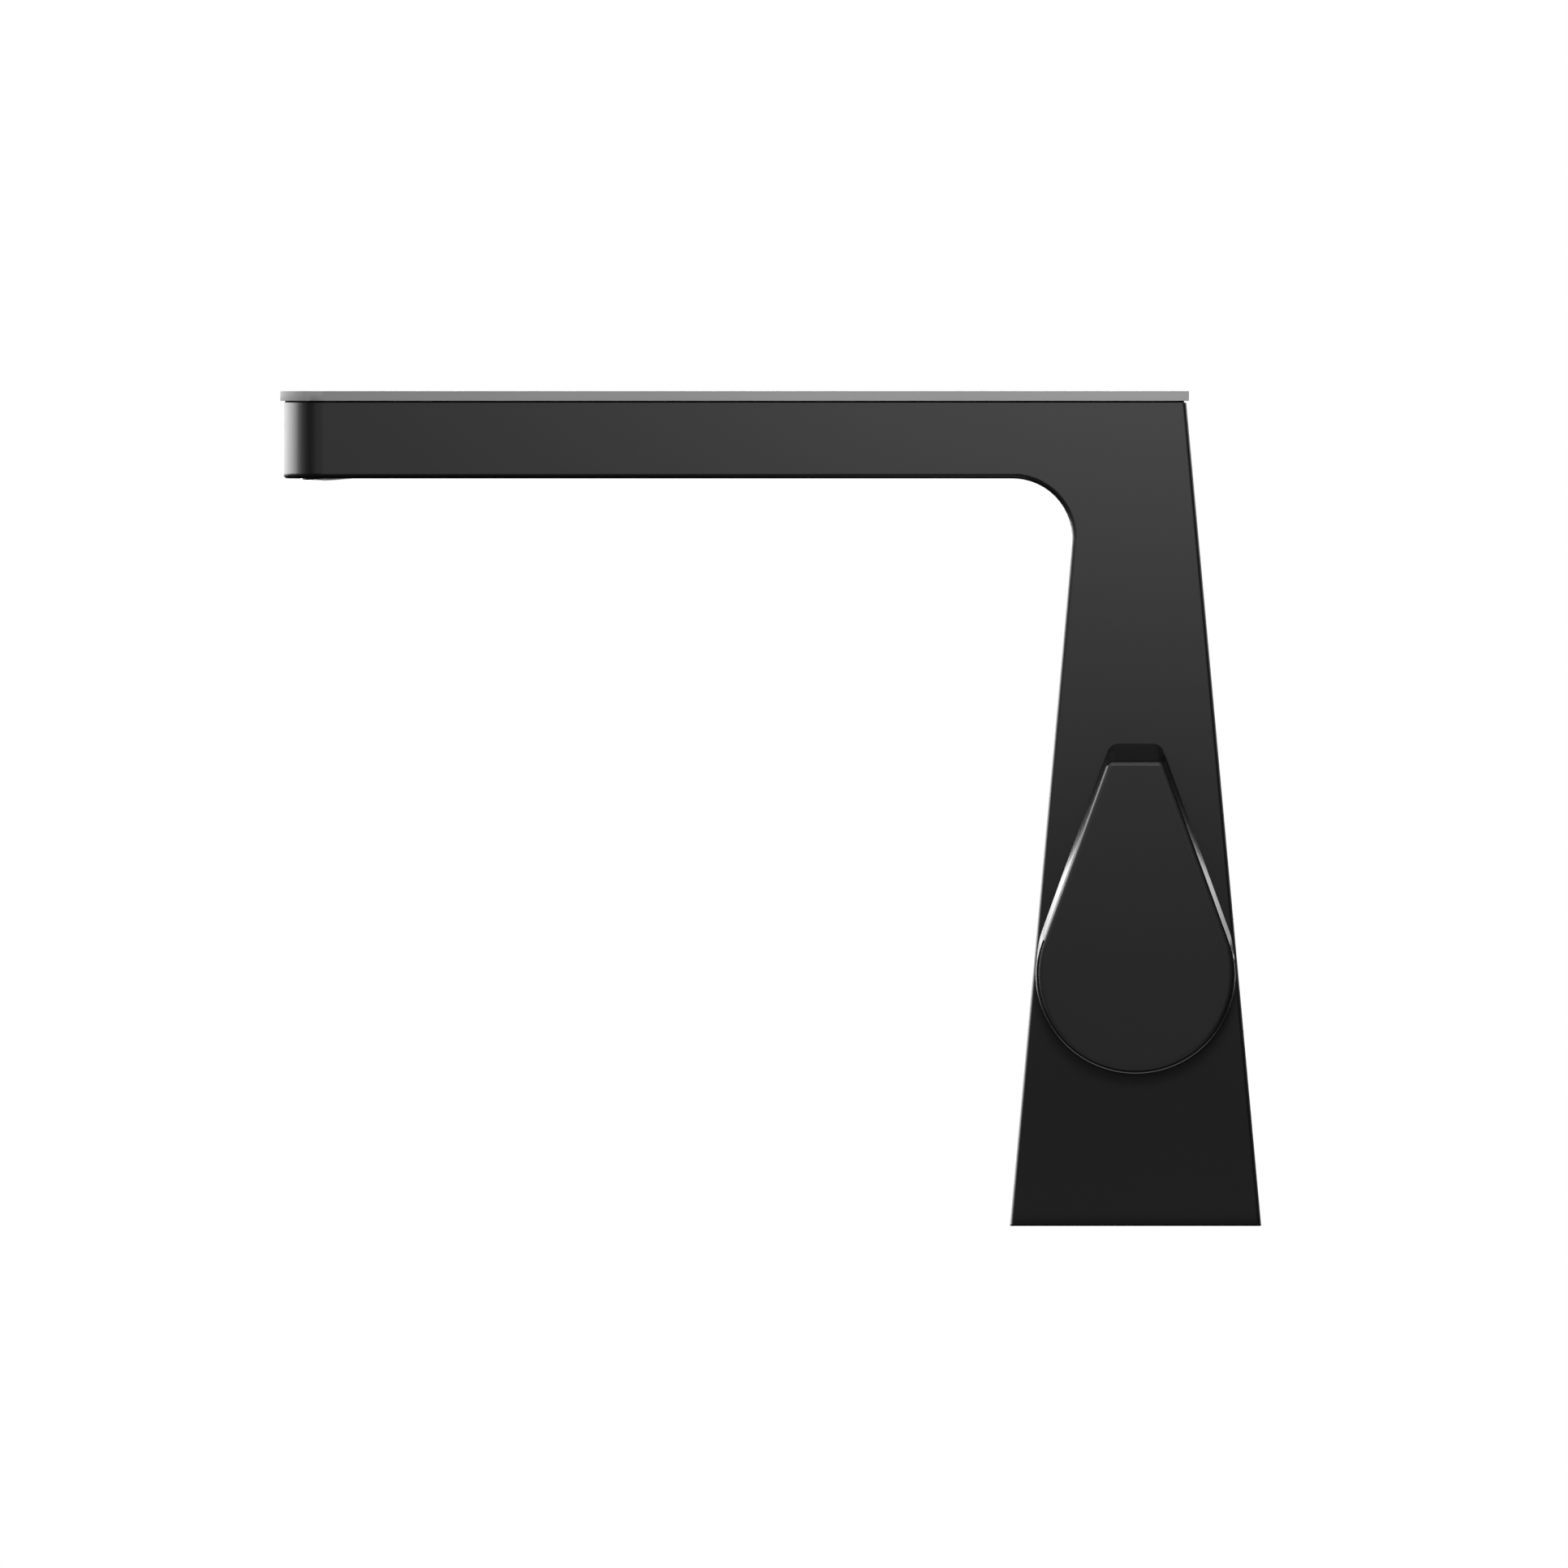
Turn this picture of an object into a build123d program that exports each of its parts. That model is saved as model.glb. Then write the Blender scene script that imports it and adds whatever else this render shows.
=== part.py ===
from build123d import *
import os
from math import cos, radians, sin, tan

os.makedirs("parts", exist_ok=True)

# Bathroom mixer in millimetres. The origin is the middle of the foot on the deck, +Z is up,
# the spout points along -X and the lever sits on the -Y face of the column.

# Column and spout, outside
body_height = 169.1
base_depth = 51.7
base_width = 52.0
depth_taper = 5.2
width_taper = 3.0
spout_reach = 175.15
spout_thickness = 15.6
tip_radius = 8.2
throat_radius = 12.2
edge_radius = 1.0
base_edge_radius = 0.3

# Casting, inside
wall = 3.2
nose_length = 29.0
ledge_length = 6.4
ledge_height = 11.0
post_size = 5.4
post_height = 14.0

# Fits
slip_fit = 0.05
loose_fit = 0.15
end_gap = 0.2
glide_gap = 0.1

# Top plate and its gasket
plate_thickness = 2.0
plate_overhang = 0.5
gasket_thickness = 0.35
gasket_inset = 0.5
pin_diameter = 3.0
pin_depth = 5.8
pin_edge = 5.2
pin_ledge = 3.2
pin_nose = 4.0

# Lever
lever_height = 51.8
lever_radius = 20.25
lever_length = 43.8
lever_angle = 20.0
lever_corner = 1.5
cover_thickness = 2.0
cover_edge = 1.1
foot_rise = 2.4
foot_reach = 1.1
foot_corner = 2.5
carrier_thickness = 0.4
lever_gap = 0.35
hub_diameter = 16.0
drive_width = 6.0
drive_length = 4.8
hub_web = 1.5
screw_diameter = 4.0
screw_length = 9.0
screw_head_diameter = 7.0
screw_head_height = 2.2
screw_key = 2.5

# Cartridge, valve block and ring nut
cartridge_diameter = 25.0
cartridge_shell = 1.8
cartridge_neck = 5.6
stem_diameter = 9.0
stem_flange_diameter = 17.2
stem_flange = 2.6
washer_thickness = 0.8
o_ring_section = 1.2
o_ring_spacing = 2.8
tongue_length = 12.0
tongue_width = 4.0
tongue_height = 1.2
moving_disc_room = 0.8
moving_disc_thickness = 2.4
pocket_depth = 1.0
cold_pocket_angle = 153.0
hot_pocket_angle = 258.0
fixed_disc_thickness = 2.6
disc_seal_thickness = 1.6
disc_port_diameter = 4.4
disc_port_spread = 6.0
disc_port_drop = 3.0
nut_shoulder = 1.6
nut_rim = 2.2
nut_flange = 1.5
nut_sink = 0.2
nut_bore_diameter = 20.0
nut_notch = 3.0
glide_width = 3.4
block_wall = 2.1
block_gap = 0.8
row_inset = 6.4

# Water ways
supply_pitch = 16.0
supply_tube_diameter = 8.0
spout_tube_diameter = 9.0
tube_wall = 1.0
tube_rest = 0.5
tube_bend = 14.0
offset_bend = 40.0
offset_start = 30.0
offset_length = 35.0
supply_socket = 5.5
spout_socket = 6.0
outlet_socket = 8.0
way_diameter = 4.6
seal_section = 1.1
seal_width = 2.0

# Outlet
outlet_setback = 12.15
outlet_bore_diameter = 20.0
chamber_step = 1.4
ball_diameter = 18.0
ball_height = 3.2
ball_room = 0.25
housing_sink = 0.2
housing_height = 4.2
aerator_gasket_thickness = 0.8
chamber_roof = 3.0
nozzle_tilt = 4.5
nozzle_top = 1.9
face_drop = 0.5
face_dome = 48.0
mouth_diameter = 11.2
insert_diameter = 12.8
lip_thickness = 1.5
straightener_height = 2.8
screen_height = 0.5
jet_diameter = 1.5
jet_pitch = 2.3
jet_rings = 2

# Foot
seal_thickness = 2.5
insert_height = 13.5
pad_diameter = 34.4
stud_hole_diameter = 6.8
stud_hole_depth = 12.0
hose_hole_diameter = 9.0
hose_hole_depth = 9.0
base_screw_diameter = 3.0
base_screw_reach = 10.0
base_head_diameter = 5.5
base_head_height = 3.0
base_screw_edge = 3.0


# Sizes that follow from the ones above
def half_depth(z, inset=0.0):
    """Half the column's depth at height z, moved inwards by inset square to the face."""
    return base_depth / 2 - z * tan(radians(depth_taper)) - inset / cos(radians(depth_taper))


def half_width(z, inset=0.0):
    """Half the column's width at height z, moved inwards by inset square to the face."""
    return base_width / 2 - z * tan(radians(width_taper)) - inset / cos(radians(width_taper))


spout_bottom = body_height - spout_thickness
channel_floor = spout_bottom + wall
nose_x = nose_length - spout_reach
ledge_x = half_depth(body_height) - ledge_length
ledge_z = body_height - ledge_height
plate_bottom = body_height + gasket_thickness
insert_top = seal_thickness + insert_height
base_head_seat = seal_thickness + end_gap + base_head_height
post_x = half_depth(insert_top, wall)
post_y = half_width(insert_top, wall)
base_screw_spots = [
    (x * (post_x - base_screw_edge), y * (post_y - base_screw_edge)) for x in (-1, 1) for y in (-1, 1)
]

# Depths along the lever axis, measured inwards from the column's face
nut_seat = nut_sink + nut_flange
head_seat = screw_head_height / 2
hub_depth = head_seat + hub_web + drive_length
cartridge_top = hub_depth + 2 * end_gap
shoulder_depth = cartridge_top + cartridge_neck
flange_depth = shoulder_depth + washer_thickness + 2 * slip_fit
moving_disc_depth = flange_depth + stem_flange
fixed_disc_depth = moving_disc_depth + moving_disc_thickness + slip_fit
disc_seal_depth = fixed_disc_depth + fixed_disc_thickness
block_floor = disc_seal_depth + disc_seal_thickness
drive_top = head_seat + hub_web + end_gap / 2

cartridge_radius = cartridge_diameter / 2
chamber_radius = cartridge_radius - cartridge_shell
nut_radius = cartridge_radius + nut_shoulder
nut_flange_radius = nut_radius + nut_rim
block_radius = nut_radius + block_wall
stem_radius = stem_diameter / 2
stem_bore_radius = stem_radius + slip_fit
disc_radius = chamber_radius - end_gap
groove_radius = stem_bore_radius - o_ring_section

# The valve block ends just short of the column's rear wall, which its upper edge meets first
rear_wall = half_width(lever_height + block_radius, wall) - block_radius * sin(radians(width_taper))
block_end = half_width(lever_height) + rear_wall - block_gap

# Lever axis, square to the column's inclined face
lever_centre = Vector(0, -half_width(lever_height), lever_height)
lever_out = Vector(0, -cos(radians(width_taper)), sin(radians(width_taper)))
lever_seat = Plane(origin=lever_centre, x_dir=(1, 0, 0), z_dir=lever_out)
lever_section = Plane(origin=lever_centre, x_dir=(1, 0, 0), z_dir=-lever_seat.y_dir)
lever_low = lever_centre - lever_seat.y_dir * lever_radius + lever_out * (lever_gap + carrier_thickness)
cover_back = Plane(origin=(0, lever_low.Y, lever_height), x_dir=(1, 0, 0), z_dir=(0, -1, 0))

# Water ways: the tubes stand in one row behind the cartridge
tube_row = lever_centre - lever_out * (block_floor + row_inset)
spout_tube_radius = spout_tube_diameter / 2
supply_radius = supply_tube_diameter / 2
way_radius = way_diameter / 2
seal_height = seal_width - 2 * slip_fit
tube_z = channel_floor + tube_rest + spout_tube_radius
supply_stop = tube_row.Z - disc_port_drop - way_radius
outlet_stop = tube_row.Z + block_radius - outlet_socket
supply_spots = [(-supply_pitch / 2, tube_row.Y), (supply_pitch / 2, tube_row.Y)]
outlet_spot = [(0, tube_row.Y)]
nose_end = Plane(origin=(nose_x, 0, tube_z), x_dir=(0, 1, 0), z_dir=(-1, 0, 0))
disc_ports = [(-disc_port_spread, -disc_port_drop), (disc_port_spread, -disc_port_drop), (0, 0)]

# Outlet
outlet_x = outlet_setback - spout_reach
ball_radius = ball_diameter / 2
ball_centre = Vector(outlet_x, 0, spout_bottom + ball_height)
outlet_plane = Plane(origin=(outlet_x, 0, spout_bottom))
housing_top = housing_sink + housing_height
outlet_bore_radius = outlet_bore_diameter / 2
socket_radius = ball_radius + slip_fit
nozzle_up = Vector(-sin(radians(nozzle_tilt)), 0, cos(radians(nozzle_tilt)))
nozzle_plane = Plane(origin=ball_centre, x_dir=(cos(radians(nozzle_tilt)), 0, sin(radians(nozzle_tilt))),
                     z_dir=nozzle_up)
nozzle_section = Plane(origin=ball_centre, x_dir=nozzle_plane.x_dir, z_dir=-nozzle_plane.y_dir)
face_depth = ball_height + face_drop
shelf = lip_thickness - face_depth
pin_spots = [
    (x, side * (half_width(body_height) - pin_edge))
    for x in (nose_x - pin_nose, half_depth(body_height) - pin_ledge)
    for side in (-1, 1)
]


def bore(plane, radius, depth, spots=((0, 0),)):
    """Cut round holes of this depth along the plane's normal."""
    with BuildSketch(plane) as hole:
        with Locations(*spots):
            Circle(radius)
    extrude(hole.sketch, amount=depth, mode=Mode.SUBTRACT)


def rings(plane, outer, inner, height, spots=((0, 0),), mode=Mode.ADD):
    """Stand round pieces with a hole on the plane, or cut them away."""
    with BuildSketch(plane) as section:
        with Locations(*spots):
            Circle(outer)
            Circle(inner, mode=Mode.SUBTRACT)
    extrude(section.sketch, amount=height, mode=mode)


def rods(plane, radius, height, spots=((0, 0),)):
    """Stand round bars on the plane."""
    with BuildSketch(plane) as section:
        with Locations(*spots):
            Circle(radius)
    extrude(section.sketch, amount=height)


def turned(section, *corners):
    """Revolve an outline of (radius, height) corners about the section's upright axis."""
    with BuildSketch(section) as outline:
        with BuildLine():
            Polyline(*corners, close=True)
        make_face()
    revolve(outline.sketch, axis=Axis(section.origin, section.y_dir))


def column_outline(plane, half, inset):
    """The column seen square to the plane, moved inwards by inset; half gives half its breadth."""
    with BuildSketch(plane) as outline:
        with BuildLine():
            Polyline(
                (-half(0, inset), 0),
                (half(0, inset), 0),
                (half(body_height, inset), body_height),
                (-half(body_height, inset), body_height),
                close=True,
            )
        make_face()
    return outline.sketch


def column_section(z, inset):
    """Plan of the column at height z, moved inwards by inset."""
    with BuildSketch(Plane.XY.offset(z)) as plan:
        Rectangle(2 * half_depth(z, inset), 2 * half_width(z, inset))
    return plan.sketch


def top_outline(z, grow):
    """Plan of the body's top, moved outwards by grow: rounded at the tip, square at the rear."""
    rear = half_depth(body_height) + grow
    tip = -spout_reach - grow
    with BuildSketch(Plane.XY.offset(z)) as plan:
        with Locations(((rear + tip) / 2, 0)):
            Rectangle(rear - tip, 2 * (half_width(body_height) + grow))
        fillet(plan.vertices().group_by(Axis.X)[0], tip_radius + grow)
    return plan.sketch


def teardrop(plane, length, corner):
    """The lever's outline: a disc whose tangents run up to a short flat tip at this length."""
    slope = radians(lever_angle)
    touch_x = lever_radius * cos(slope)
    touch_y = lever_radius * sin(slope)
    tip_x = (lever_radius - length * sin(slope)) / cos(slope)
    with BuildSketch(plane) as outline:
        with BuildLine():
            Polyline((touch_x, touch_y), (tip_x, length), (-tip_x, length), (-touch_x, touch_y))
            CenterArc((0, 0), lever_radius, 180 - lever_angle, 90 + lever_angle)
            CenterArc((0, 0), lever_radius, 270, 90 + lever_angle)
        make_face()
        fillet(outline.vertices().group_by(Axis.Y)[-1], corner)
    return outline.sketch


# Hollow of the casting: the column is open to the deck, the spout channel is open to the top plate
with BuildPart() as hollow:
    with BuildSketch(Plane.XZ):
        with BuildLine():
            FilletPolyline(
                (-half_depth(0, wall), 0),
                (half_depth(0, wall), 0),
                (half_depth(ledge_z, wall), ledge_z),
                (ledge_x, ledge_z),
                (ledge_x, body_height),
                (nose_x, body_height),
                (nose_x, channel_floor),
                (-half_depth(channel_floor, wall), channel_floor),
                radius=(0, 0, 0, 0, 0, 0, 0, throat_radius + wall),
                close=True,
            )
        make_face()
    extrude(amount=base_width, both=True)
    extrude(column_outline(Plane.YZ, half_width, wall), amount=2 * spout_reach, both=True, mode=Mode.INTERSECT)
    with BuildSketch(Plane.XY.offset(insert_top)):
        with GridLocations(2 * post_x, 2 * post_y, 2, 2):
            Rectangle(2 * post_size, 2 * post_size)
    extrude(amount=post_height, mode=Mode.SUBTRACT)

# Body: one casting, column and spout
with BuildPart() as mixer_body:
    with BuildSketch(Plane.XZ):
        with BuildLine():
            FilletPolyline(
                (-base_depth / 2, 0),
                (base_depth / 2, 0),
                (half_depth(body_height), body_height),
                (-spout_reach, body_height),
                (-spout_reach, spout_bottom),
                (-half_depth(spout_bottom), spout_bottom),
                radius=(0, 0, 0, 0, 0, throat_radius),
                close=True,
            )
        make_face()
    extrude(amount=base_width, both=True)
    extrude(column_outline(Plane.YZ, half_width, 0), amount=2 * spout_reach, both=True, mode=Mode.INTERSECT)
    tip_face = faces().sort_by(Axis.X)[0]
    fillet(tip_face.edges().filter_by(Axis.Y, reverse=True), tip_radius)
    tip_end = tip_radius - spout_reach
    sides = faces().filter_by(lambda face: abs(face.normal_at().Y) > cos(radians(2 * width_taper)))
    underside = faces().filter_by(Axis.Z).group_by(Axis.Z)[1]
    side_edges = sides.edges().filter_by_position(Axis.Z, edge_radius, body_height - edge_radius)
    long_edges = side_edges.filter_by(lambda edge: edge.center().X > tip_end + tip_radius)
    tip_edges = underside.edges().filter_by(lambda edge: edge.center().X < tip_end)
    fillet(long_edges + tip_edges, edge_radius)
    fillet(faces().sort_by(Axis.Z)[0].edges(), base_edge_radius)
    add(hollow.part, mode=Mode.SUBTRACT)
    bore(lever_seat, nut_flange_radius + loose_fit, -nut_seat)
    bore(lever_seat, nut_radius + loose_fit, -2 * wall)
    bore(outlet_plane, outlet_bore_radius, housing_top + aerator_gasket_thickness)
    bore(outlet_plane, outlet_bore_radius - chamber_step, spout_thickness - chamber_roof)
    with Locations(ball_centre):
        Sphere(ball_radius + ball_room, mode=Mode.SUBTRACT)
    bore(nose_end, spout_tube_radius + slip_fit, spout_socket)
    bore(nose_end.offset(seal_width), spout_tube_radius + seal_section + slip_fit, seal_width)
    bore(nose_end, way_radius, nose_length - outlet_setback)
    bore(Plane.XY.offset(body_height), pin_diameter / 2 + slip_fit, -pin_depth - end_gap, pin_spots)
    bore(Plane.XY.offset(insert_top), base_screw_diameter / 2 + slip_fit, base_screw_reach + end_gap,
         base_screw_spots)

# Gasket on the rim, open over the channel
with BuildPart() as plate_gasket:
    extrude(top_outline(body_height, -gasket_inset), amount=gasket_thickness)
    with BuildSketch(Plane.XY.offset(body_height)):
        with Locations(((nose_x + ledge_x) / 2, 0)):
            Rectangle(ledge_x - nose_x, 2 * half_width(body_height, wall))
    extrude(amount=gasket_thickness, mode=Mode.SUBTRACT)
    bore(Plane.XY.offset(body_height), pin_diameter / 2 + loose_fit, gasket_thickness, pin_spots)

# Flat plate over the whole top
with BuildPart() as top_plate:
    extrude(top_outline(plate_bottom, plate_overhang), amount=plate_thickness)

# Pins under the plate
with BuildPart() as plate_pins:
    rods(Plane.XY.offset(plate_bottom), pin_diameter / 2, -pin_depth - gasket_thickness, pin_spots)

# Foot with the threads for the fixing stud and the two supply hoses
with BuildPart() as base_insert:
    loft([column_section(z, wall + loose_fit) for z in (seal_thickness, insert_top)], ruled=True)
    rods(Plane.XY, pad_diameter / 2, insert_top)
    bore(Plane.XY, stud_hole_diameter / 2, stud_hole_depth)
    bore(Plane.XY, hose_hole_diameter / 2, hose_hole_depth, supply_spots)
    bore(Plane.XY, way_radius, insert_top, supply_spots)
    bore(Plane.XY.offset(insert_top), supply_radius + slip_fit, -supply_socket, supply_spots)
    bore(Plane.XY.offset(insert_top - seal_width), supply_radius + seal_section + slip_fit, -seal_width,
         supply_spots)
    seal_top = Plane.XY.offset(seal_thickness)
    bore(seal_top, base_head_diameter / 2 + loose_fit, base_head_seat - seal_thickness, base_screw_spots)
    bore(seal_top, base_screw_diameter / 2 + loose_fit, insert_height, base_screw_spots)

# Screws that draw the foot up against the posts of the casting
with BuildPart() as base_screws:
    rods(Plane.XY.offset(base_head_seat), base_head_diameter / 2, -base_head_height, base_screw_spots)
    rods(Plane.XY.offset(base_head_seat), base_screw_diameter / 2,
          insert_top + base_screw_reach - base_head_seat, base_screw_spots)

# Rubber seal to the deck, around the pad of the foot
with BuildPart() as base_seal:
    loft([column_section(z, wall + loose_fit) for z in (0, seal_thickness)], ruled=True)
    bore(Plane.XY, pad_diameter / 2 + loose_fit, seal_thickness)

# Valve block: a cup for the cartridge, with the water ways in its back
with BuildPart() as valve_block:
    turned(
        lever_section,
        (nut_radius + slip_fit, -wall),
        (block_radius, -wall),
        (block_radius, -block_end),
        (0, -block_end),
        (0, -block_floor),
        (cartridge_radius + slip_fit, -block_floor),
        (cartridge_radius + slip_fit, -cartridge_top),
        (nut_radius + slip_fit, -cartridge_top),
    )
    side_room = column_outline(Plane.XZ, half_depth, wall + block_gap)
    extrude(side_room, amount=base_width, both=True, mode=Mode.INTERSECT)
    bore(lever_seat.offset(-block_floor), disc_port_diameter / 2, -row_inset - way_radius, disc_ports)
    bore(Plane.XY.offset(supply_stop), way_radius, 2 * way_radius, supply_spots)
    bore(Plane.XY.offset(supply_stop), supply_radius + slip_fit, -block_radius, supply_spots)
    bore(Plane.XY.offset(supply_stop - seal_width), supply_radius + seal_section + slip_fit, -seal_width,
         supply_spots)
    bore(Plane.XY.offset(tube_row.Z), way_radius, outlet_stop - tube_row.Z, outlet_spot)
    bore(Plane.XY.offset(outlet_stop), spout_tube_radius + slip_fit, block_radius, outlet_spot)
    bore(Plane.XY.offset(outlet_stop + seal_width), spout_tube_radius + seal_section + slip_fit, seal_width,
         outlet_spot)

# Supply tubes from the foot to the valve block
supply_foot = Plane.XY.offset(insert_top - supply_socket + end_gap)
supply_length = supply_stop - end_gap - supply_foot.origin.Z
with BuildPart() as cold_inlet_tube:
    rings(supply_foot, supply_radius, supply_radius - tube_wall, supply_length, supply_spots[:1])

with BuildPart() as hot_inlet_tube:
    rings(supply_foot, supply_radius, supply_radius - tube_wall, supply_length, supply_spots[1:])

with BuildPart() as inlet_seals:
    for groove_top in (insert_top - seal_width, supply_stop - seal_width):
        seat = Plane.XY.offset(groove_top - slip_fit)
        rings(seat, supply_radius + seal_section, supply_radius + slip_fit, -seal_height, supply_spots)

# Spout tube: up the column, back to the middle, round the bend and along the channel
with BuildPart() as spout_tube:
    with BuildLine() as tube_path:
        FilletPolyline(
            (0, tube_row.Y, outlet_stop + end_gap),
            (0, tube_row.Y, outlet_stop + offset_start),
            (0, 0, outlet_stop + offset_start + offset_length),
            (0, 0, tube_z),
            (nose_x - spout_socket + end_gap, 0, tube_z),
            radius=(offset_bend, offset_bend, tube_bend),
        )
    with BuildSketch(Plane(origin=tube_path.line @ 0, z_dir=tube_path.line % 0)):
        Circle(spout_tube_radius)
        Circle(spout_tube_radius - tube_wall, mode=Mode.SUBTRACT)
    sweep(path=tube_path.line)

with BuildPart() as tube_seals:
    for seat, spots in (
        (Plane.XY.offset(outlet_stop + seal_width + slip_fit), outlet_spot),
        (nose_end.offset(seal_width + slip_fit), [(0, 0)]),
    ):
        rings(seat, spout_tube_radius + seal_section, spout_tube_radius + slip_fit, seal_height, spots)

# Cartridge: a cup that holds the discs, with a long neck for the stem
with BuildPart() as cartridge_housing:
    turned(
        lever_section,
        (stem_bore_radius, -cartridge_top),
        (cartridge_radius, -cartridge_top),
        (cartridge_radius, -block_floor),
        (chamber_radius, -block_floor),
        (chamber_radius, -shoulder_depth),
        (stem_bore_radius, -shoulder_depth),
    )

with BuildPart() as disc_seal:
    rods(lever_seat.offset(-disc_seal_depth), disc_radius, -disc_seal_thickness)
    bore(lever_seat.offset(-disc_seal_depth), disc_port_diameter / 2, -disc_seal_thickness, disc_ports)

with BuildPart() as fixed_disc:
    rods(lever_seat.offset(-fixed_disc_depth), disc_radius, -fixed_disc_thickness)
    bore(lever_seat.offset(-fixed_disc_depth), disc_port_diameter / 2, -fixed_disc_thickness, disc_ports)

# Moving disc: a slot for the stem on top, a pocket underneath that joins the supplies to the outlet
pocket_reach = Vector(disc_port_spread, disc_port_drop).length
with BuildPart() as moving_disc:
    rods(lever_seat.offset(-moving_disc_depth), disc_radius - moving_disc_room, -moving_disc_thickness)
    with BuildSketch(lever_seat.offset(-moving_disc_depth)):
        Rectangle(tongue_length + 2 * slip_fit, tongue_width + 2 * slip_fit)
    extrude(amount=-tongue_height - slip_fit, mode=Mode.SUBTRACT)
    with BuildSketch(lever_seat.offset(-moving_disc_depth - moving_disc_thickness)):
        for angle in (cold_pocket_angle, hot_pocket_angle):
            with PolarLocations(pocket_reach / 2, 1, start_angle=angle):
                SlotCenterToCenter(pocket_reach, disc_port_diameter)
    extrude(amount=pocket_depth, mode=Mode.SUBTRACT)

# Stem: square drive for the lever, sealed neck, flange with a tongue for the moving disc
o_ring_middle = cartridge_top + cartridge_neck / 2
o_ring_depths = [o_ring_middle + side * o_ring_spacing / 2 for side in (-1, 1)]
with BuildPart() as cartridge_stem:
    turned(
        lever_section,
        (0, -hub_depth),
        (stem_radius, -hub_depth),
        (stem_radius, -flange_depth),
        (stem_flange_diameter / 2, -flange_depth),
        (stem_flange_diameter / 2, -moving_disc_depth),
        (0, -moving_disc_depth),
    )
    with BuildSketch(lever_seat.offset(-hub_depth)):
        Rectangle(drive_width, drive_width)
    extrude(amount=hub_depth - drive_top)
    with BuildSketch(lever_seat.offset(-moving_disc_depth)):
        Rectangle(tongue_length, tongue_width)
    extrude(amount=-tongue_height)
    for depth in o_ring_depths:
        rings(lever_seat.offset(o_ring_section / 2 - depth), stem_diameter, groove_radius, -o_ring_section,
              mode=Mode.SUBTRACT)
    screw_end = head_seat + screw_length + end_gap
    bore(lever_seat.offset(-drive_top), screw_diameter / 2 + slip_fit, drive_top - screw_end)

with BuildPart() as stem_o_rings:
    with BuildSketch(lever_section):
        with Locations(*[((groove_radius + stem_bore_radius) / 2, -depth) for depth in o_ring_depths]):
            RegularPolygon(o_ring_section / 2 - slip_fit, 8)
    revolve(axis=Axis(lever_centre, lever_out))

with BuildPart() as thrust_washer:
    rings(lever_seat.offset(-shoulder_depth - slip_fit), stem_flange_diameter / 2, stem_radius + slip_fit,
          -washer_thickness)

# Ring nut with notches for a spanner
with BuildPart() as cartridge_nut:
    turned(
        lever_section,
        (nut_bore_diameter / 2, -nut_sink),
        (nut_flange_radius, -nut_sink),
        (nut_flange_radius, -nut_seat),
        (nut_radius, -nut_seat),
        (nut_radius, -cartridge_top),
        (nut_bore_diameter / 2, -cartridge_top),
    )
    with BuildSketch(lever_seat.offset(-nut_sink)):
        with PolarLocations(nut_flange_radius, 4):
            Rectangle(2 * nut_rim, nut_notch)
    extrude(amount=-nut_flange, mode=Mode.SUBTRACT)

with BuildPart() as glide_ring:
    glide_bore = nut_bore_diameter / 2 + end_gap
    rings(lever_seat.offset(-nut_sink), glide_bore + glide_width, glide_bore, nut_sink + lever_gap - glide_gap)

# Lever carrier: a wedge from the inclined column face out to the upright cover, with a hub for the stem
foot_middle = lever_centre + lever_out * lever_gap + lever_seat.y_dir * foot_rise
foot_plane = Plane(origin=foot_middle, x_dir=(1, 0, 0), z_dir=lever_out)
edge_middle = (foot_middle + Vector(0, lever_low.Y, foot_middle.Z)) * 0.5
edge_plane = Plane(origin=edge_middle, x_dir=(1, 0, 0), z_dir=lever_out + Vector(0, -1, 0))
with BuildPart() as lever_carrier:
    foot = teardrop(foot_plane, lever_length + foot_reach, foot_corner)
    edge = teardrop(edge_plane, lever_length + (foot_reach - foot_rise) / 2, foot_corner)
    loft([foot, edge, teardrop(cover_back, lever_length, lever_corner)], ruled=True)
    rods(lever_seat.offset(-hub_depth), hub_diameter / 2, hub_depth + lever_gap + carrier_thickness / 2)
    with BuildSketch(lever_seat.offset(-hub_depth)):
        Rectangle(drive_width + 2 * slip_fit, drive_width + 2 * slip_fit)
    extrude(amount=drive_length, mode=Mode.SUBTRACT)
    bore(lever_seat.offset(-hub_depth), screw_diameter / 2 + loose_fit, hub_depth)
    bore(lever_seat.offset(-head_seat), screw_head_diameter / 2 + loose_fit, lever_radius)

with BuildPart() as lever_screw:
    rods(lever_seat.offset(-head_seat), screw_head_diameter / 2, screw_head_height)
    rods(lever_seat.offset(-head_seat), screw_diameter / 2, -screw_length)
    with BuildSketch(lever_seat.offset(screw_head_height - head_seat)):
        RegularPolygon(screw_key / 2, 6, major_radius=False)
    extrude(amount=-screw_head_height / 2, mode=Mode.SUBTRACT)

# Upright teardrop cover with a rounded face edge
with BuildPart() as lever_cover:
    extrude(teardrop(cover_back, lever_length, lever_corner), amount=cover_thickness)
    fillet(faces().sort_by(Axis.Y)[0].edges(), cover_edge)

# Outlet: a ring in the spout holds the ball of the nozzle, a gasket closes it from above
with BuildPart() as aerator_housing:
    rods(outlet_plane.offset(housing_sink), outlet_bore_radius - slip_fit, housing_height)
    with Locations(ball_centre):
        Sphere(socket_radius, mode=Mode.SUBTRACT)
    bore(outlet_plane.offset(ball_height), socket_radius, housing_top)

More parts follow.
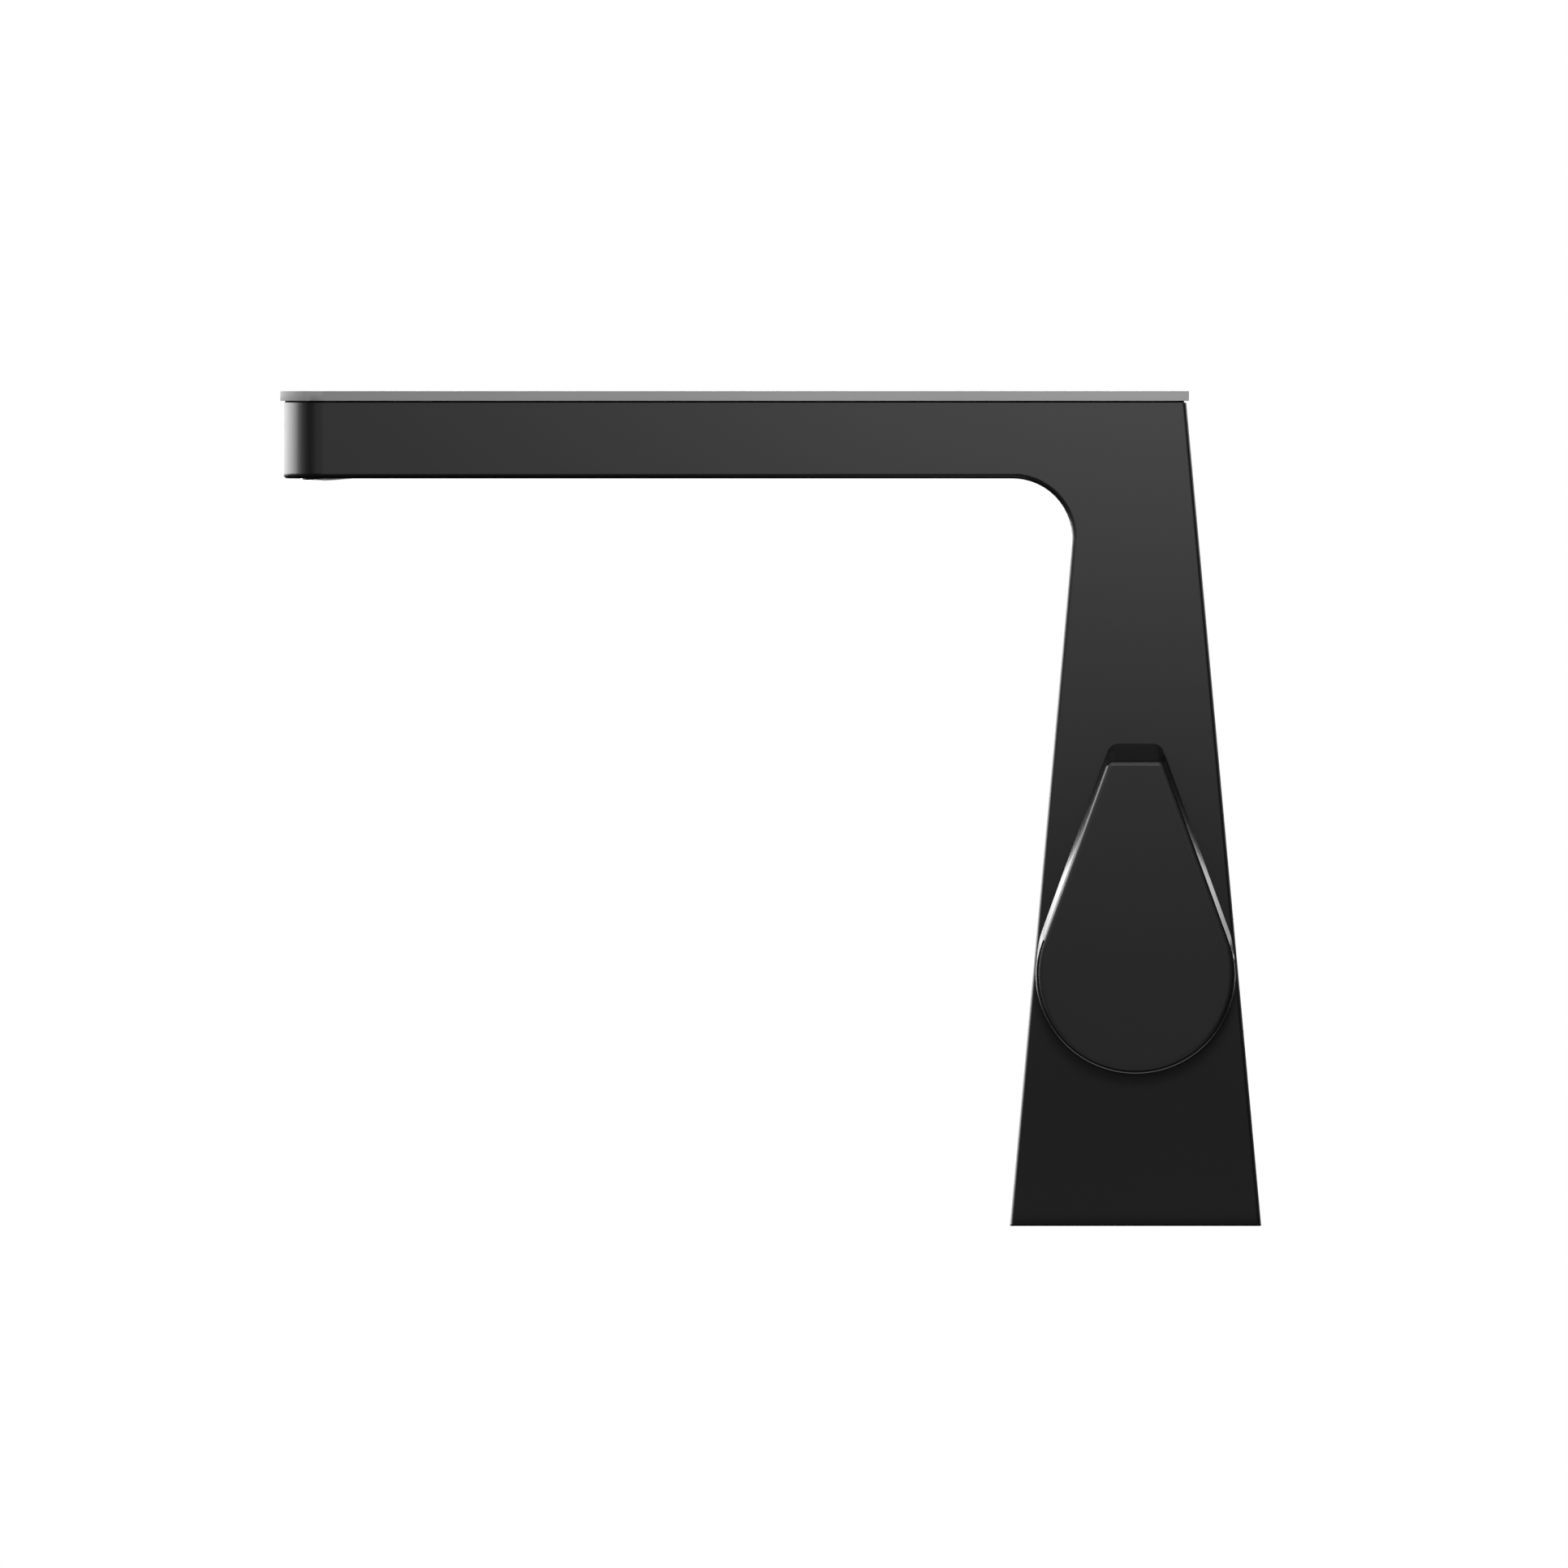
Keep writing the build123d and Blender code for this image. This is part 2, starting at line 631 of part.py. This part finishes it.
with BuildPart() as aerator_gasket:
    rods(outlet_plane.offset(housing_top), outlet_bore_radius - slip_fit, aerator_gasket_thickness)
    with Locations(ball_centre):
        Sphere(socket_radius, mode=Mode.SUBTRACT)

with BuildPart() as aerator_nozzle:
    turned(
        nozzle_section,
        (mouth_diameter / 2, -face_depth),
        (ball_radius, -face_depth),
        (ball_radius, nozzle_top),
        (insert_diameter / 2, nozzle_top),
        (insert_diameter / 2, shelf),
        (mouth_diameter / 2, shelf),
    )
    with Locations(ball_centre):
        Sphere(ball_radius, mode=Mode.INTERSECT)
    with Locations(ball_centre + nozzle_up * (face_dome - face_depth)):
        Sphere(face_dome, mode=Mode.INTERSECT)


def perforated(plane, height):
    """A round plate with rings of small holes."""
    rods(plane, insert_diameter / 2 - slip_fit, height)
    bore(plane, jet_diameter / 2, height)
    for ring in range(1, jet_rings + 1):
        with BuildSketch(plane) as jets:
            with PolarLocations(ring * jet_pitch, 6 * ring):
                Circle(jet_diameter / 2)
        extrude(jets.sketch, amount=height, mode=Mode.SUBTRACT)


with BuildPart() as flow_straightener:
    perforated(nozzle_plane.offset(shelf), straightener_height)

with BuildPart() as aerator_screen:
    perforated(nozzle_plane.offset(shelf + straightener_height), screen_height)

pieces = {
    "mixer_body": mixer_body,
    "plate_gasket": plate_gasket,
    "top_plate": top_plate,
    "plate_pins": plate_pins,
    "base_insert": base_insert,
    "base_screws": base_screws,
    "base_seal": base_seal,
    "valve_block": valve_block,
    "cold_inlet_tube": cold_inlet_tube,
    "hot_inlet_tube": hot_inlet_tube,
    "inlet_seals": inlet_seals,
    "spout_tube": spout_tube,
    "tube_seals": tube_seals,
    "cartridge_housing": cartridge_housing,
    "disc_seal": disc_seal,
    "fixed_disc": fixed_disc,
    "moving_disc": moving_disc,
    "cartridge_stem": cartridge_stem,
    "stem_o_rings": stem_o_rings,
    "thrust_washer": thrust_washer,
    "cartridge_nut": cartridge_nut,
    "glide_ring": glide_ring,
    "lever_carrier": lever_carrier,
    "lever_screw": lever_screw,
    "lever_cover": lever_cover,
    "aerator_housing": aerator_housing,
    "aerator_gasket": aerator_gasket,
    "aerator_nozzle": aerator_nozzle,
    "flow_straightener": flow_straightener,
    "aerator_screen": aerator_screen,
}
for name, piece in pieces.items():
    piece.part.label = name
    export_step(piece.part, f"parts/{name}.step")
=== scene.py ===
from math import cos, pi, radians, sin

import bpy
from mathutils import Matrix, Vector


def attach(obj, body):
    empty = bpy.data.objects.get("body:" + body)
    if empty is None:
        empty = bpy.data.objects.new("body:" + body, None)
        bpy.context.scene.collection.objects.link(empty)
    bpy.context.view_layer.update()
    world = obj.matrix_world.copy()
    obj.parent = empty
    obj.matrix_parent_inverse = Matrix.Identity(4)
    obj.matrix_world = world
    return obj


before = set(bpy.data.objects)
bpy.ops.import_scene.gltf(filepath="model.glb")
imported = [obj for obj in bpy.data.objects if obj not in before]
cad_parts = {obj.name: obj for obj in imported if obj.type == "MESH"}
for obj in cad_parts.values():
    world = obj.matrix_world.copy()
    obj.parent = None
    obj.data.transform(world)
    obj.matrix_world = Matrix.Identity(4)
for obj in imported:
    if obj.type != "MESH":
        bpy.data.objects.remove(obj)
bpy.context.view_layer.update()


# Rubber seals: the flat one under the foot keeps water out of the tap hole and is cut from sheet,
# the rings on the tubes, the stem, the valve and the outlet's ball are moulded and lie in grooves.
# All are black rubber with a dull, slightly chalky skin.
def place(tree, kind, sockets=None, **settings):
    """Add a node, set it up, and fill or link its inputs."""
    node = tree.nodes.new(kind)
    for name, value in settings.items():
        setattr(node, name, value)
    for name, value in (sockets or {}).items():
        if isinstance(value, bpy.types.NodeSocket):
            tree.links.new(value, node.inputs[name])
        else:
            node.inputs[name].default_value = value
    return node


def new_effect(name, inputs, outputs):
    """A node group with these sockets, and its two ends."""
    group = bpy.data.node_groups.new(name, "ShaderNodeTree")
    for socket, value in inputs.items():
        kind = "NodeSocketColor" if isinstance(value, tuple) else "NodeSocketFloat"
        group.interface.new_socket(socket, in_out="INPUT", socket_type=kind).default_value = value
    for socket in outputs:
        kind = "NodeSocketColor" if socket == "Colour" else "NodeSocketFloat"
        group.interface.new_socket(socket, in_out="OUTPUT", socket_type=kind)
    return group, group.nodes.new("NodeGroupInput").outputs, group.nodes.new("NodeGroupOutput").inputs


def put_out(group, ends, values):
    """Link these values to the effect's outputs."""
    for name, value in values.items():
        group.links.new(value, ends[name])


def object_spot(tree):
    """The place on the object, in metres."""
    return place(tree, "ShaderNodeTexCoord").outputs["Object"]


def between(tree, factor, low, high):
    """A value that runs from low to high with the factor."""
    ramp = place(tree, "ShaderNodeMapRange", {"Value": factor, "To Min": low, "To Max": high})
    return ramp.outputs["Result"]


def tint(tree, factor, first, second):
    """A colour that runs from first to second with the factor."""
    return place(tree, "ShaderNodeMix", {0: factor, 6: first, 7: second}, data_type="RGBA").outputs[2]


def noise(tree, vector, scale, detail=2.0):
    """Noise of about this many spots to the metre."""
    spots = place(tree, "ShaderNodeTexNoise", {"Vector": vector, "Scale": scale, "Detail": detail})
    return spots.outputs["Fac"]


def grey(value):
    """A neutral colour of this brightness."""
    return (value, value, value, 1)


def new_finish(name, effect, pattern, relief, **plain):
    """A material whose colour, roughness and relief come from an effect with these values."""
    material = bpy.data.materials.new(name)
    material.use_nodes = True
    tree = material.node_tree
    shader = tree.nodes["Principled BSDF"]
    for socket, value in plain.items():
        shader.inputs[socket.replace("_", " ")].default_value = value
    surface = place(tree, "ShaderNodeGroup", pattern, node_tree=effect).outputs
    bump = place(tree, "ShaderNodeBump", {"Strength": 1.0, "Distance": relief, "Height": surface["Height"]})
    tree.links.new(surface["Colour"], shader.inputs["Base Color"])
    tree.links.new(surface["Roughness"], shader.inputs["Roughness"])
    tree.links.new(bump.outputs["Normal"], shader.inputs["Normal"])
    return material


def dress(material, *names):
    """Give CAD pieces this material."""
    for name in names:
        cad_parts[name].data.materials.clear()
        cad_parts[name].data.materials.append(material)


skin, skin_in, skin_out = new_effect(
    "pored skin",
    {
        "Tone": grey(0.5), "Cloud Tone": grey(0.5), "Cloud Scale": 40.0, "Pore Scale": 2500.0,
        "Roughness From": 0.4, "Roughness To": 0.5,
    },
    ["Colour", "Roughness", "Height"],
)
pore_share = 0.35
spot = object_spot(skin)
cloud = noise(skin, spot, skin_in["Cloud Scale"], detail=3.0)
pores = noise(skin, spot, skin_in["Pore Scale"])
dullness = place(skin, "ShaderNodeMix", {0: pore_share, 2: cloud, 3: pores}).outputs[0]
put_out(skin, skin_out, {
    "Colour": tint(skin, cloud, skin_in["Tone"], skin_in["Cloud Tone"]),
    "Roughness": between(skin, dullness, skin_in["Roughness From"], skin_in["Roughness To"]),
    "Height": pores,
})

black_rubber = new_finish("black rubber", skin, {
    "Tone": grey(0.008), "Cloud Tone": (0.018, 0.018, 0.017, 1), "Cloud Scale": 120.0,
    "Pore Scale": 3500.0, "Roughness From": 0.7, "Roughness To": 0.9,
}, relief=0.00002)
dress(black_rubber, "base_seal", "inlet_seals", "tube_seals", "disc_seal", "stem_o_rings", "aerator_gasket")

# Foot: a brass block, milled and bored from below, with the threads for the fixing stud and both hoses.
# It fills the bottom of the column, and four screws draw it up against the posts inside.
turned, turned_in, turned_out = new_effect(
    "tool marks",
    {
        "Tone": grey(0.5), "Bright Tone": grey(0.6), "Stretch": 0.05, "Mark Scale": 2600.0,
        "Roughness From": 0.2, "Roughness To": 0.4,
    },
    ["Colour", "Roughness", "Height"],
)


def vector_step(tree, operation, sockets, output="Vector"):
    """One step of reckoning with vectors."""
    return place(tree, "ShaderNodeVectorMath", sockets, operation=operation).outputs[output]


stain_scale = 90.0
spot = object_spot(turned)
round_about = vector_step(turned, "LENGTH", {0: spot}, "Value")
along = place(turned, "ShaderNodeCombineXYZ", {"X": round_about}).outputs["Vector"]
drift = vector_step(turned, "SCALE", {0: spot, 3: turned_in["Stretch"]})
marks = noise(turned, vector_step(turned, "ADD", {0: along, 1: drift}), turned_in["Mark Scale"], detail=4.0)
stain = noise(turned, spot, stain_scale, detail=3.0)
put_out(turned, turned_out, {
    "Colour": tint(turned, stain, turned_in["Tone"], turned_in["Bright Tone"]),
    "Roughness": between(turned, marks, turned_in["Roughness From"], turned_in["Roughness To"]),
    "Height": marks,
})
brass_tones = {
    "Tone": (0.52, 0.36, 0.14, 1), "Bright Tone": (0.7, 0.52, 0.24, 1), "Roughness From": 0.22,
    "Roughness To": 0.42,
}
brass_relief = 0.00001
tapped_brass = new_finish("tapped brass", turned, brass_tones, brass_relief, Metallic=1.0)

thread, thread_in, thread_out = new_effect(
    "cut thread",
    {"Across": 0.0, "Back": 0.0, "Core Radius": 0.004, "Pitch": 0.001},
    ["Height"],
)


def reckon(tree, operation, first, second):
    """One step of reckoning with two values."""
    return place(tree, "ShaderNodeMath", {0: first, 1: second}, operation=operation).outputs["Value"]


core_slack = 1.05
flank_share = 0.5
bore_middle = place(thread, "ShaderNodeCombineXYZ", {"X": thread_in["Across"], "Y": thread_in["Back"]})
from_axis = vector_step(thread, "SUBTRACT", {0: object_spot(thread), 1: bore_middle.outputs["Vector"]})
part = place(thread, "ShaderNodeSeparateXYZ", {"Vector": from_axis}).outputs
share = reckon(thread, "DIVIDE", reckon(thread, "ARCTAN2", part["Y"], part["X"]), 2 * pi)
rise = reckon(thread, "DIVIDE", part["Z"], thread_in["Pitch"])
flank = reckon(thread, "PINGPONG", reckon(thread, "SUBTRACT", rise, share), flank_share)
level = vector_step(thread, "MULTIPLY", {0: from_axis, 1: (1, 1, 0)})
radius = vector_step(thread, "LENGTH", {0: level}, "Value")
limit = reckon(thread, "MULTIPLY", thread_in["Core Radius"], core_slack)
in_bore = reckon(thread, "LESS_THAN", radius, limit)
put_out(thread, thread_out, {"Height": reckon(thread, "MULTIPLY", flank, in_bore)})

hose_side = 0.008
hose_back = 0.006623678
stud_bore = {"Across": 0.0, "Back": 0.0, "Core Radius": 0.0034, "Pitch": 0.00125}
cold_bore = {"Across": -hose_side, "Back": hose_back, "Core Radius": 0.0045, "Pitch": 0.001}
hot_bore = {**cold_bore, "Across": hose_side}
ridge_height = 0.001
tree = tapped_brass.node_tree
surface = next(node for node in tree.nodes if node.type == "BUMP").inputs["Normal"]
for bore in (hot_bore, cold_bore, stud_bore):
    cut = place(tree, "ShaderNodeGroup", bore, node_tree=thread).outputs["Height"]
    ridge = place(tree, "ShaderNodeBump", {"Distance": ridge_height, "Height": cut})
    tree.links.new(ridge.outputs["Normal"], surface)
    surface = ridge.inputs["Normal"]
dress(tapped_brass, "base_insert")

# Valve: a turned brass block that takes the cartridge, the ring nut that holds it in the column's wall,
# and the brass stem that the lever turns.
milled_brass = new_finish("turned brass", turned, brass_tones, brass_relief, Metallic=1.0)
dress(milled_brass, "valve_block", "cartridge_nut", "cartridge_stem")

# Screws and pins of plain steel, and the drawn steel tubes that carry the water from the foot to the valve
# and on to the outlet. The tubes only push into their sockets, the screws hold the foot and the lever.
plain_steel = new_finish("drawn steel", turned, {
    "Tone": (0.42, 0.42, 0.43, 1), "Bright Tone": (0.6, 0.6, 0.61, 1), "Stretch": 0.02, "Mark Scale": 3200.0,
    "Roughness From": 0.25, "Roughness To": 0.45,
}, relief=0.000008, Metallic=1.0)
dress(plain_steel, "base_screws", "plate_pins", "lever_screw", "aerator_screen")
dress(plain_steel, "cold_inlet_tube", "hot_inlet_tube", "spout_tube")

# Body: one casting, column and spout, ground smooth and given a satin black coat.
# The coat has a very fine skin and lies a little duller in slow clouds, as a sprayed and baked coat does.
satin_black = {
    "Tone": grey(0.0032), "Cloud Tone": grey(0.0042), "Cloud Scale": 25.0, "Pore Scale": 3000.0,
    "Roughness From": 0.325, "Roughness To": 0.345,
}
coat_relief = 0.000001
body_coat = new_finish("satin black coat", skin, satin_black, coat_relief)
dress(body_coat, "mixer_body")

# Cartridge: a cup, a thrust washer and the lever's slide ring, moulded in off-white plastic.
# The cup pushes into the valve block, and the ring nut presses it home; the ring lies under the lever.
moulded_white = new_finish("moulded white plastic", skin, {
    "Tone": (0.66, 0.66, 0.63, 1), "Cloud Tone": (0.74, 0.74, 0.72, 1), "Cloud Scale": 60.0,
    "Pore Scale": 1800.0, "Roughness From": 0.42, "Roughness To": 0.58,
}, relief=0.00001)
dress(moulded_white, "cartridge_housing", "thrust_washer", "glide_ring")

# Discs: two white ceramic discs, lapped flat, that slide on each other and open the water ways.
# One lies still on the valve's seal, the other is turned by the stem.
lapped_white = new_finish("lapped ceramic", skin, {
    "Tone": (0.8, 0.8, 0.78, 1), "Cloud Tone": (0.86, 0.86, 0.85, 1), "Cloud Scale": 400.0,
    "Pore Scale": 6000.0, "Roughness From": 0.2, "Roughness To": 0.32,
}, relief=0.000002)
dress(lapped_white, "fixed_disc", "moving_disc")

# Outlet: a polished nozzle whose ball tilts in a dark plastic ring pressed into the spout.
# The perforated insert in its mouth is moulded in the same dark plastic and breaks the water up.
polished = new_finish("polished nozzle", turned, {
    "Tone": (0.55, 0.55, 0.56, 1), "Bright Tone": (0.62, 0.62, 0.63, 1), "Stretch": 0.01,
    "Mark Scale": 1500.0, "Roughness From": 0.1, "Roughness To": 0.18,
}, relief=0.000001, Metallic=1.0)
dress(polished, "aerator_nozzle")
moulded_black = new_finish("moulded black plastic", skin, {
    "Tone": (0.02, 0.02, 0.021, 1), "Cloud Tone": (0.03, 0.03, 0.031, 1), "Cloud Scale": 200.0,
    "Pore Scale": 3000.0, "Roughness From": 0.4, "Roughness To": 0.55,
}, relief=0.00001)
dress(moulded_black, "aerator_housing", "flow_straightener")

# Gasket: a thin black rubber sheet, cut to the plate's outline and laid between plate and casting.
# It is set back a little, so that it shows as a dark joint.
# The same black is also used on the lever for a painted shade line in the cover's joint.
gasket_black_and_joint_shade = new_finish("black gasket sheet and painted joint shade", skin, {
    "Tone": grey(0.003), "Cloud Tone": grey(0.005), "Cloud Scale": 120.0, "Pore Scale": 3500.0,
    "Roughness From": 0.85, "Roughness To": 0.95,
}, relief=0.00001, Specular_IOR_Level=0.1)
dress(gasket_black_and_joint_shade, "plate_gasket")

# Top plate: a flat grey metal sheet, brushed along the spout, with its cut edges blasted dull.
# It lies on a thin gasket over the whole top and is held by pins in the casting.
brushed, brushed_in, brushed_out = new_effect(
    "brushed sheet",
    {"Tone": grey(0.3), "Bright Tone": grey(0.4), "Roughness From": 0.45, "Roughness To": 0.6},
    ["Colour", "Roughness", "Height"],
)
brush_lines = (30.0, 2200.0, 100.0)
patch_scale = 30.0
patch_share = 0.6
spot = object_spot(brushed)
drawn_out = place(brushed, "ShaderNodeMapping", {"Vector": spot, "Scale": brush_lines}).outputs["Vector"]
lines = noise(brushed, drawn_out, 1.0, detail=3.0)
patches = noise(brushed, spot, patch_scale)
shade = place(brushed, "ShaderNodeMix", {0: patch_share, 2: lines, 3: patches}).outputs[0]
put_out(brushed, brushed_out, {
    "Colour": tint(brushed, shade, brushed_in["Tone"], brushed_in["Bright Tone"]),
    "Roughness": between(brushed, lines, brushed_in["Roughness From"], brushed_in["Roughness To"]),
    "Height": lines,
})
plate_metal = new_finish("brushed grey metal", brushed, {
    "Tone": (0.295, 0.297, 0.295, 1), "Bright Tone": (0.345, 0.347, 0.345, 1), "Roughness From": 0.84,
    "Roughness To": 0.94,
}, relief=0.000004, Metallic=1.0)
dress(plate_metal, "top_plate")
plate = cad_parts["top_plate"]
plate.modifiers.new("joined corners", "WELD").merge_threshold = 0.000001
broken_edge = plate.modifiers.new("broken edge", "BEVEL")
broken_edge.width = 0.00012
broken_edge.segments = 2
broken_edge.limit_method = "ANGLE"
broken_edge.angle_limit = radians(40)
broken_edge.harden_normals = True

# Lever: a wedge that stands on the column's inclined face, and the upright teardrop cover on it.
# Both are cast and coated black as the body, smooth on the wedge and a little duller on the cover.
wedge_coat = new_finish("smooth black wedge coat", skin, {
    **satin_black, "Roughness From": 0.24, "Roughness To": 0.27,
}, coat_relief)
dress(wedge_coat, "lever_carrier")
cover_coat = new_finish("satin black cover coat", skin, {
    **satin_black, "Roughness From": 0.45, "Roughness To": 0.47,
}, coat_relief)
dress(cover_coat, "lever_cover")


# Lever's rim: a fine raised edge round the cover's disc, in a lighter grey metal that paints a highlight
# line along the disc's edge.
# It runs from one flank to the other and fades out where the flanks begin.
def arc(side, height, radius, depth, first, last, count):
    """Points on an arc in an upright plane at this depth, from the first angle to the last."""
    ways = [first + (last - first) * step / (count - 1) for step in range(count)]
    return [(side + radius * cos(way), depth, height + radius * sin(way)) for way in ways]


def fine_line(name, kind, points, swell, thickness, sides, material):
    """A thin line through these points, with this share of the thickness at each."""
    curve = bpy.data.curves.new(name, "CURVE")
    curve.dimensions = "3D"
    curve.bevel_depth = thickness
    curve.bevel_resolution = sides
    curve.use_fill_caps = True
    line = curve.splines.new(kind)
    line.points.add(len(points) - 1)
    for place_on_line, point, share in zip(line.points, points, swell):
        place_on_line.co = (*point, 1)
        place_on_line.radius = share
    line.order_u = 4
    line.use_endpoint_u = True
    curve.materials.append(material)
    piece = bpy.data.objects.new(name, curve)
    bpy.context.scene.collection.objects.link(piece)
    return piece


# Lighter grey metal for the rim: a painted highlight along the edge of the cover's disc.
painted_highlight_edge = new_finish("grey metal for painted rim highlight", skin, {
    "Tone": grey(0.26), "Cloud Tone": grey(0.3), "Cloud Scale": 60.0, "Pore Scale": 3000.0,
    "Roughness From": 0.28, "Roughness To": 0.36,
}, coat_relief, Metallic=1.0)
disc_middle_height = 0.0518
rim_radius = 0.02035
rim_depth = -0.0259
rim_thickness = 0.00017
rim_start = radians(17)
rim_end = rim_start - radians(214)
rim_count = 73
thin_end = 0.05
swell_rate = 12
rim_points = arc(0.0, disc_middle_height, rim_radius, rim_depth, rim_start, rim_end, rim_count)
rim_shares = [step / (rim_count - 1) for step in range(rim_count)]
rim_swell = [min(1.0, swell_rate * min(share, 1 - share) + thin_end) for share in rim_shares]
lever_rim = fine_line("lever_rim", "NURBS", rim_points, rim_swell, rim_thickness, sides=4,
                      material=painted_highlight_edge)
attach(lever_rim, "lever")

# Cover's joint: a fine black bead laid along the joint between the lever's cover and its wedge, as painted
# shade of that joint.
# It shows as a dark painted-shade line over the tip, down the right flank and round the disc, and ends at
# the left flank.
bead_depth = -0.026589
bead_radius = 0.0200754
bead_thickness = 0.00019
tip_corner_radius = 0.0013253
tip_corner_side = 0.0045574
tip_corner_height = 0.0941001
flank_angle = radians(20)
corner_count = 6
disc_count = 91
tip_corner = (tip_corner_height, tip_corner_radius, bead_depth)
bead_points = [
    *arc(-tip_corner_side, *tip_corner, pi - flank_angle, pi / 2, corner_count),
    *arc(tip_corner_side, *tip_corner, pi / 2, flank_angle, corner_count),
    *arc(0.0, disc_middle_height, bead_radius, bead_depth, flank_angle, -pi - flank_angle, disc_count),
]
bead_swell = [1.0] * len(bead_points)
# Black bead: painted shade in the joint between the cover and its wedge.
cover_joint_shade = fine_line("cover_joint_shade", "POLY", bead_points, bead_swell, bead_thickness, sides=3,
                        material=gasket_black_and_joint_shade)
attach(cover_joint_shade, "lever")

# Floor: a wide, plain pale surface that the mixer stands on, painted matt.
# It takes the soft shadow and does not show in the black coat's gloss.
floor_size = 6.0
bpy.ops.mesh.primitive_plane_add(size=floor_size, location=(0.0, 0.0, 0.0))
floor = bpy.context.object
floor.name = "floor"
pale = bpy.data.materials.new("pale floor")
pale.use_nodes = True
pale_shader = pale.node_tree.nodes["Principled BSDF"].inputs
pale_shader["Base Color"].default_value = grey(0.82)
pale_shader["Roughness"].default_value = 0.9
pale_shader["Specular IOR Level"].default_value = 0.0
floor.data.materials.append(pale)
floor.visible_glossy = False


# Studio: three softboxes in front give the black faces their tone, and panels at the sides and behind draw
# the bright edges; all of them only show in gloss. A wide overhead softbox lights the matt surfaces.
# The surround is white at the left and behind, dark at the right and below, and pale behind the floor.
def softbox(name, middle, aim, size, radiance, mirrored=True):
    """A rectangular soft light, turned to the point aim, that shows in gloss or lights matt surfaces."""
    width, height = size
    light = bpy.data.lights.new(name, "AREA")
    light.shape = "RECTANGLE"
    light.size = width
    light.size_y = height
    light.energy = radiance * pi * width * height
    lamp = bpy.data.objects.new(name, light)
    lamp.location = middle
    lamp.rotation_euler = (Vector(aim) - Vector(middle)).to_track_quat("-Z", "Y").to_euler()
    lamp.visible_camera = False
    lamp.visible_glossy = mirrored
    lamp.visible_diffuse = not mirrored
    bpy.context.scene.collection.objects.link(lamp)


lever_middle = (0.0, -0.02, 0.065)
softbox("front broad softbox", middle=(-0.078, -0.27, 0.45), aim=(-0.078, 0.0, 0.45), size=(0.42, 0.673),
        radiance=0.6)
softbox("front key softbox", middle=(0.017, -0.27, 0.39), aim=(0.017, 0.0, 0.39), size=(0.169, 0.248),
        radiance=21.0)
softbox("front low softbox", middle=(0.002, -0.27, 0.076), aim=(0.002, 0.0, 0.076), size=(0.322, 0.142),
        radiance=0.1)
softbox("left panel", middle=(-0.946, 0.308, 0.3), aim=(-0.1, 0.0, 0.3), size=(1.04, 0.6), radiance=5.6)
softbox("left high panel", middle=(-0.73, 0.24, 0.339), aim=lever_middle, size=(0.34, 0.18), radiance=12.0)
softbox("right high panel", middle=(0.73, 0.22, 0.345), aim=lever_middle, size=(0.34, 0.16), radiance=9.0)
softbox("overhead softbox", middle=(0.0, 0.0, 1.6), aim=(0.0, 0.0, 0.0), size=(8.0, 8.0), radiance=0.65,
        mirrored=False)
softbox("back panel", middle=(-0.03, 0.9, 0.25), aim=(-0.03, 0.0, 0.25), size=(1.44, 0.5), radiance=4.0)
softbox("right back panel", middle=(0.6, 0.62, 0.2), aim=(0.0, 0.0, 0.1), size=(0.9, 0.9), radiance=0.4)
softbox("foot glow", middle=(0.0, -0.1, 0.001), aim=(0.0, -0.1, 1.0), size=(0.12, 0.14), radiance=0.5)

world = bpy.data.worlds.new("studio")
bpy.context.scene.world = world
world.use_nodes = True
sky = world.node_tree
background = sky.nodes["Background"]
background.inputs["Color"].default_value = grey(1)
white_way = (-0.72, 0.69, 0.05)
floor_tone = 0.752
look = place(sky, "ShaderNodeTexCoord").outputs["Generated"]
height = place(sky, "ShaderNodeSeparateXYZ", {"Vector": look}).outputs["Z"]
facing = vector_step(sky, "DOT_PRODUCT", {0: look, 1: white_way}, "Value")
white_side = place(sky, "ShaderNodeMapRange", {"Value": facing, "From Min": 0.0, "From Max": 0.55},
                   interpolation_type="SMOOTHSTEP").outputs["Result"]
above = place(sky, "ShaderNodeMapRange", {"Value": height, "From Min": -0.35, "From Max": 0.02},
              interpolation_type="SMOOTHSTEP").outputs["Result"]
behind = place(sky, "ShaderNodeMapRange", {
    "Value": height, "From Min": -0.06, "From Max": -0.01, "To Min": floor_tone, "To Max": 1.0,
}).outputs["Result"]
ray = place(sky, "ShaderNodeLightPath").outputs
surround = reckon(sky, "MULTIPLY", white_side, above)
backdrop = reckon(sky, "MULTIPLY", behind, ray["Is Camera Ray"])
sky.links.new(reckon(sky, "MAXIMUM", surround, backdrop), background.inputs["Strength"])

# Camera: a level side elevation from very far away, so that nothing converges.
# It looks square at the side with the lever and leaves room all round the mixer.
picture_width = 0.322
camera = bpy.data.objects.new("camera", bpy.data.cameras.new("camera"))
bpy.context.scene.collection.objects.link(camera)
camera.data.type = "ORTHO"
camera.data.ortho_scale = picture_width
camera.location = (-0.0722, -1.5, 0.09077)
camera.rotation_euler = (radians(90), 0, 0)
camera.data.clip_end = 20.0
bpy.context.scene.camera = camera
bpy.context.scene.view_settings.view_transform = "Standard"
